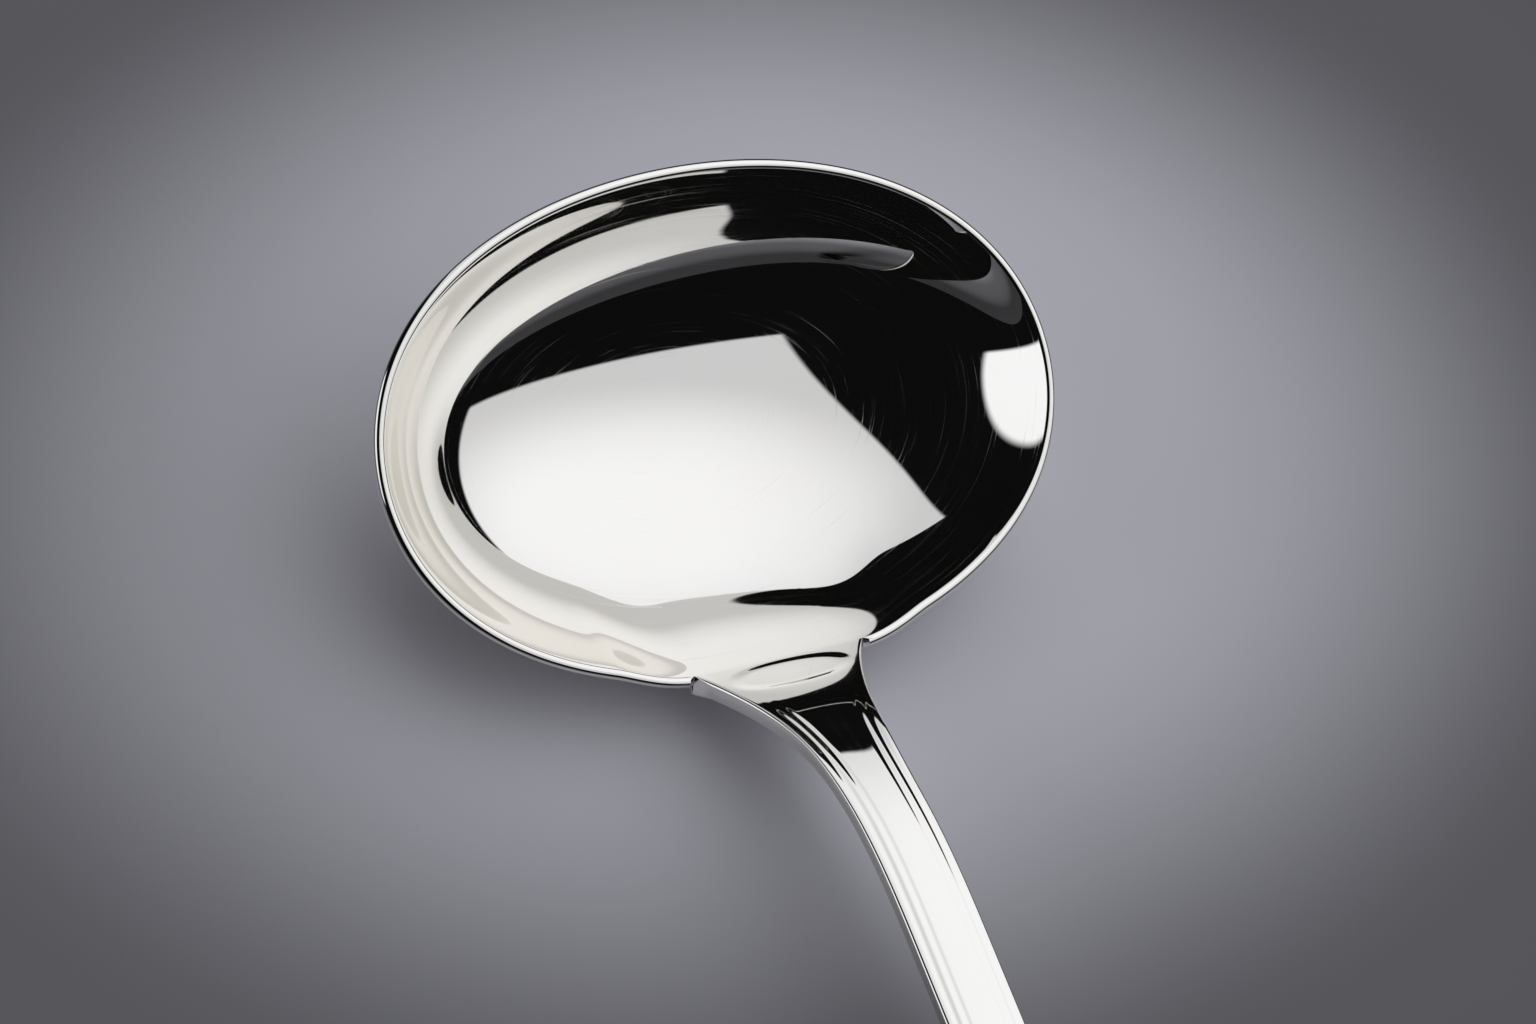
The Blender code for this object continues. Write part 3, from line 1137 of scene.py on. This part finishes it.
@dataclass(frozen=True)
class Studio:
    """Floor with a painted pool of light fading to painted shade, two soft lights in a dark room,
    and the camera.

    Args:
        lens: Focal length in millimetres.
        sensor: Width of the sensor in millimetres.
        clip_start: Distance from which the camera sees.
        camera_place: Place of the camera.
        camera_right: Direction to the right in the picture.
        camera_up: Direction upwards in the picture.
        lights: The lights.
        light_colour: Their colour.
        room_level: Level of the dark room.
        floor_radius: Radius of the floor.
        floor_segments: Corners of the floor.
        floor_drop: How far the floor lies below the ladle.
        floor_roughness: Roughness of its paper.
        floor_gloss: Strength of its gloss.
        painted_pool_middle: Middle of the painted pool of light, a pale oval painted on the floor.
        painted_pool_reach: Half sizes of the oval at which its painted shade is darkest.
        painted_pool_shades: Shares of the way out to that, and the painted greys of light and shade
            there.
        floor_tint: Tint of the painted greys.
    """

    lens: float = 100.0
    sensor: float = 36.0
    clip_start: float = 10.0 * MM
    camera_place: Triple = (-184.66 * MM, -183.08 * MM, 371.87 * MM)
    camera_right: Triple = (0.886014, -0.371094, 0.277972)
    camera_up: Triple = (0.189, 0.83651, 0.514324)
    lights: tuple[SoftLight, ...] = (WINDOW_LIGHT, ROUND_LIGHT)
    light_colour: Triple = (0.957, 0.973, 1.0)
    room_level: float = 0.004
    floor_radius: float = 3.0
    floor_segments: int = 96
    floor_drop: float = 0.05 * MM
    floor_roughness: float = 0.9
    floor_gloss: float = 0.1
    # Painted light: the floor's colour is pale in an oval round the ladle and fades to painted
    # shade further out, standing in for a lamp's pool of light.
    painted_pool_middle: Pair = (15.2 * MM, 9.7 * MM)
    painted_pool_reach: Pair = (262.0 * MM, 195.0 * MM)
    painted_pool_shades: tuple[Pair, ...] = ((0.0, 0.724), (0.171, 0.724), (0.421, 0.189), (1.0, 0.06))
    floor_tint: Triple = (1.0, 0.99, 1.08)

    def add_camera(self) -> None:
        """Put the camera at the photograph's viewing angle."""
        data = bpy.data.cameras.new("camera")
        data.lens = self.lens
        data.sensor_width = self.sensor
        data.clip_start = self.clip_start
        camera = bpy.data.objects.new("camera", data)
        right = Vector(self.camera_right).normalized()
        up = Vector(self.camera_up).normalized()
        turn = Matrix((right, up, right.cross(up))).transposed()
        camera.matrix_world = Matrix.Translation(self.camera_place) @ turn.to_4x4()
        bpy.context.scene.collection.objects.link(camera)
        bpy.context.scene.camera = camera

    def add_world(self) -> None:
        """Light the dark room with the soft lights."""
        world = bpy.data.worlds.new("studio")
        bpy.context.scene.world = world
        world.use_nodes = True
        tree = world.node_tree
        background = tree.nodes["Background"]
        background.inputs["Color"].default_value = (*self.light_colour, 1.0)
        direction = tree.nodes.new("ShaderNodeTexCoord").outputs["Generated"]
        total = None
        for light in self.lights:
            level = light.level(tree, direction)
            combined = tree.nodes.new("ShaderNodeMath")
            combined.inputs[0].default_value = self.room_level
            if total is not None:
                tree.links.new(total, combined.inputs[0])
            tree.links.new(level, combined.inputs[1])
            total = combined.outputs["Value"]
        tree.links.new(total, background.inputs["Strength"])

    def add_floor(self) -> None:
        """Lay a pale floor with a painted pool of light that fades to painted shade."""
        bm = bmesh.new()
        bmesh.ops.create_circle(
            bm, cap_ends=True, segments=self.floor_segments, radius=self.floor_radius
        )
        bmesh.ops.translate(bm, vec=(0.0, 0.0, -self.floor_drop), verts=bm.verts)
        floor = add_object("floor", bm, self.floor_with_painted_pool())

    def floor_with_painted_pool(self) -> bpy.types.Material:
        """Matt grey paper with a painted pool of light round the ladle that fades into painted
        shade away from it.

        Returns:
            The material.
        """
        material = bpy.data.materials.new("floor_paper_with_painted_pool")
        material.use_nodes = True
        tree = material.node_tree
        shader = tree.nodes["Principled BSDF"]
        shader.inputs["Roughness"].default_value = self.floor_roughness
        shader.inputs["Specular IOR Level"].default_value = self.floor_gloss
        place = tree.nodes.new("ShaderNodeTexCoord")
        oval = tree.nodes.new("ShaderNodeMapping")
        (middle_x, middle_y), (reach_x, reach_y) = self.painted_pool_middle, self.painted_pool_reach
        oval.inputs["Location"].default_value = (-middle_x / reach_x, -middle_y / reach_y, 0.0)
        oval.inputs["Scale"].default_value = (1.0 / reach_x, 1.0 / reach_y, 0.0)
        reach = tree.nodes.new("ShaderNodeVectorMath")
        reach.operation = "LENGTH"
        # Painted pool of light and painted shade: greys from pale in the middle of the oval to dark
        # at its reach.
        shade = tree.nodes.new("ShaderNodeValToRGB")
        stops = shade.color_ramp.elements
        for index, (share, grey) in enumerate(self.painted_pool_shades):
            stop = stops[index] if index < len(stops) else stops.new(share)
            stop.position = share
            stop.color = (*(grey * part for part in self.floor_tint), 1.0)
        shade.color_ramp.interpolation = "EASE"
        tree.links.new(place.outputs["Object"], oval.inputs["Vector"])
        tree.links.new(oval.outputs["Vector"], reach.inputs[0])
        tree.links.new(reach.outputs["Value"], shade.inputs["Fac"])
        tree.links.new(shade.outputs["Color"], shader.inputs["Base Color"])
        return material

    def build(self) -> None:
        """Set up the studio."""
        bpy.context.scene.view_settings.view_transform = "Standard"
        self.add_camera()
        self.add_world()
        self.add_floor()


def main() -> None:
    """Build the ladle and its studio."""
    logging.basicConfig(level=logging.INFO, format="%(name)s: %(message)s")
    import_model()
    rest = Rest()
    bowl_form = BowlForm()
    handle_form = HandleForm(bowl_form, ThreadBorder())
    bowl_finish = SilverFinish("bowl_silver_plate")
    handle_finish = SilverFinish("handle_silver_plate", scratched=0.15, grain=(2.5, 200.0))
    solder_finish = SilverFinish(
        "hard_solder", colour=(0.82, 0.8, 0.74), polish=0.25, scratched=0.15, grain=(9.0, 12.0)
    )
    bowl = Bowl(bowl_form, handle_form, rest, bowl_finish)
    handle = Handle(handle_form, rest, handle_finish)
    solder = SolderFillet(handle_form, rest, solder_finish)
    for piece in (bowl.build(handle.seam()), handle.build(), solder.build()):
        LOG.info("%s: %d faces", piece.name, len(piece.data.polygons))
    Studio().build()
    LOG.info("studio: floor, light and camera")


if __name__ == "__main__":
    main()
